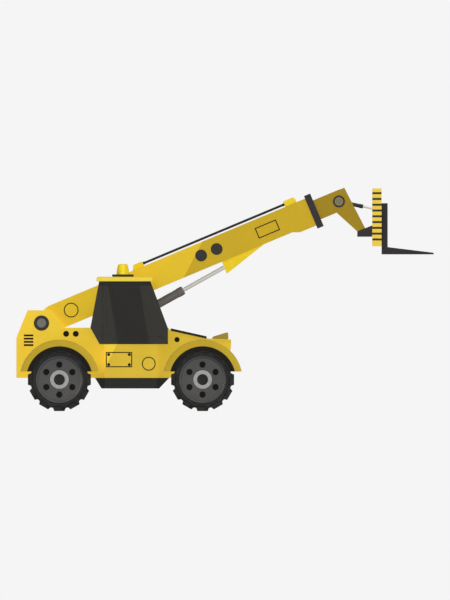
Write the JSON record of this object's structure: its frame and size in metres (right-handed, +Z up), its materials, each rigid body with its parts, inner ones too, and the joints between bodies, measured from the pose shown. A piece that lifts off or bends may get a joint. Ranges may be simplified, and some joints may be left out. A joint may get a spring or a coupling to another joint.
{
  "type": "telehandler",
  "caption": "Four-wheel telescopic handler with side cab, two-stage boom, fork carriage, steered wheels with mudguards and a side engine pod.",
  "frame": {"origin": "on the ground, in the middle of the machine's length and width", "axes": "+X forward towards the fork tips, +Y to the machine's left, +Z up"},
  "size_m": [8.012, 2.41, 4.2901],
  "materials": {
    "body_paint": "semi-gloss yellow paint",
    "guard_paint": "darker olive yellow paint",
    "stage_paint": "dark yellow paint on the inner boom",
    "dark_steel": "satin black paint",
    "axle_steel": "satin dark grey paint",
    "roof_plastic": "moulded yellow plastic",
    "belly_plastic": "moulded black plastic",
    "cast_iron": "painted casting",
    "engine_alloy": "cast alloy",
    "glass": "dark tinted glass",
    "seat_fabric": "black woven fabric",
    "beacon_plastic": "clear amber-yellow plastic",
    "rim_paint": "satin grey paint",
    "tyre": "black rubber",
    "barrel_paint": "grey paint",
    "rod_chrome": "hard chrome",
    "lamp_red": "red lamp lens",
    "lamp_clear": "clear lamp lens",
    "fork_steel": "black forged steel"
  },
  "bodies": {
    "chassis": {"chassis_frame": "body_paint", "counterweight": "body_paint", "pin_caps": "dark_steel", "boom_pin": "dark_steel", "front_deck": "dark_steel", "lamp_pods": "guard_paint", "lamp_lenses": "lamp_clear", "tail_lamps": "lamp_red", "belly_guard": "belly_plastic", "front_axle": "axle_steel", "rear_axle": "axle_steel", "engine_block": "engine_alloy", "engine_bay": "body_paint", "cab_tub": "body_paint", "cab_frame": "dark_steel", "cab_roof": "roof_plastic", "cab_glass": "glass", "operator_seat": "seat_fabric", "steering_console": "belly_plastic", "beacon": "beacon_plastic", "beacon_base": "dark_steel"},
    "boom": {"outer_boom": "body_paint", "boom_collar": "dark_steel", "boom_pipes": "dark_steel", "pipe_blocks": "body_paint"},
    "boom_stage": {"inner_boom": "stage_paint", "boom_head": "stage_paint"},
    "lift_barrel": {"lift_barrel": "barrel_paint"},
    "lift_rod": {"lift_rod": "rod_chrome"},
    "crowd_barrel": {"crowd_barrel": "barrel_paint"},
    "crowd_rod": {"crowd_rod": "rod_chrome"},
    "carriage": {"carriage": "body_paint", "carriage_bars": "dark_steel", "forks": "fork_steel"},
    "cab_door": {"door_frame": "dark_steel", "door_glass": "glass"},
    "engine_hood": {"engine_hood": "body_paint"},
    "knuckle_rear_right": {"knuckle_rear_right": "axle_steel", "mudguard_rear_right": "guard_paint"},
    "wheel_rear_right": {"rim_rear_right": "rim_paint", "tyre_rear_right": "tyre"},
    "knuckle_rear_left": {"knuckle_rear_left": "axle_steel", "mudguard_rear_left": "guard_paint"},
    "wheel_rear_left": {"rim_rear_left": "rim_paint", "tyre_rear_left": "tyre"},
    "knuckle_front_right": {"knuckle_front_right": "axle_steel", "mudguard_front_right": "guard_paint"},
    "wheel_front_right": {"rim_front_right": "rim_paint", "tyre_front_right": "tyre"},
    "knuckle_front_left": {"knuckle_front_left": "axle_steel", "mudguard_front_left": "guard_paint"},
    "wheel_front_left": {"rim_front_left": "rim_paint", "tyre_front_left": "tyre"}
  },
  "joints": [
    {"name": "boom_lift", "type": "hinge", "parent": "chassis", "child": "boom", "pos_m": [-3.524, 0, 1.69], "axis": [0, -1, 0], "range_deg": [-27, 38]},
    {"name": "boom_extend", "type": "slide", "parent": "boom", "child": "boom_stage", "axis": [0.9225, 0, 0.3859], "range_m": [0, 2.7]},
    {"name": "carriage_tilt", "type": "hinge", "parent": "boom_stage", "child": "carriage", "pos_m": [2.635, 0, 3.419], "axis": [0, -1, 0], "range_deg": [-60, 18]},
    {"name": "lift_cylinder_swing", "type": "hinge", "parent": "chassis", "child": "lift_barrel", "pos_m": [-3.361, 0, 0.901], "axis": [0, -1, 0], "range_deg": [-25.1, 35.3]},
    {"name": "lift_cylinder_stroke", "type": "slide", "parent": "lift_barrel", "child": "lift_rod", "axis": [0.8741, 0, 0.4858], "range_m": [-0.34, 0.48]},
    {"name": "crowd_cylinder_swing", "type": "hinge", "parent": "boom_stage", "child": "crowd_barrel", "pos_m": [2.18828, 0, 4.0253], "axis": [0, -1, 0], "range_deg": [-19.3, 5.9]},
    {"name": "crowd_cylinder_stroke", "type": "slide", "parent": "crowd_barrel", "child": "crowd_rod", "axis": [0.9778, 0, -0.2096], "range_m": [-0.136, 0.451]},
    {"name": "cab_door_hinge", "type": "hinge", "parent": "chassis", "child": "cab_door", "pos_m": [-2.346, -1.177, 1.9], "axis": [0, 0, -1], "range_deg": [0, 100]},
    {"name": "engine_hood_hinge", "type": "hinge", "parent": "chassis", "child": "engine_hood", "pos_m": [-1.8, 0.287, 1.574], "axis": [1, 0, 0], "range_deg": [0, 60]},
    {"name": "steer_rear_right", "type": "hinge", "parent": "chassis", "child": "knuckle_rear_right", "pos_m": [-3.18, -0.78, 0.605], "axis": [0, 0, 1], "range_deg": [-35, 35]},
    {"name": "roll_rear_right", "type": "hinge", "parent": "knuckle_rear_right", "child": "wheel_rear_right", "pos_m": [-3.18, -0.99, 0.605], "axis": [0, 1, 0], "continuous": true},
    {"name": "steer_rear_left", "type": "hinge", "parent": "chassis", "child": "knuckle_rear_left", "pos_m": [-3.18, 0.78, 0.605], "axis": [0, 0, 1], "range_deg": [-35, 35]},
    {"name": "roll_rear_left", "type": "hinge", "parent": "knuckle_rear_left", "child": "wheel_rear_left", "pos_m": [-3.18, 0.99, 0.605], "axis": [0, 1, 0], "continuous": true},
    {"name": "steer_front_right", "type": "hinge", "parent": "chassis", "child": "knuckle_front_right", "pos_m": [-0.43, -0.78, 0.605], "axis": [0, 0, 1], "range_deg": [-35, 35]},
    {"name": "roll_front_right", "type": "hinge", "parent": "knuckle_front_right", "child": "wheel_front_right", "pos_m": [-0.43, -0.99, 0.605], "axis": [0, 1, 0], "continuous": true},
    {"name": "steer_front_left", "type": "hinge", "parent": "chassis", "child": "knuckle_front_left", "pos_m": [-0.43, 0.78, 0.605], "axis": [0, 0, 1], "range_deg": [-35, 35]},
    {"name": "roll_front_left", "type": "hinge", "parent": "knuckle_front_left", "child": "wheel_front_left", "pos_m": [-0.43, 0.99, 0.605], "axis": [0, 1, 0], "continuous": true}
  ],
  "couplings": [
    {"joint": "lift_cylinder_swing", "follows": "boom_lift", "ratio": 0.925},
    {"joint": "lift_cylinder_stroke", "follows": "boom_lift", "m_per_rad": 0.7162},
    {"joint": "crowd_cylinder_swing", "follows": "carriage_tilt", "ratio": 0.32},
    {"joint": "crowd_cylinder_stroke", "follows": "carriage_tilt", "m_per_rad": -0.4297},
    {"joint": "steer_front_left", "follows": "steer_front_right", "ratio": 1},
    {"joint": "steer_rear_left", "follows": "steer_rear_right", "ratio": 1}
  ]
}
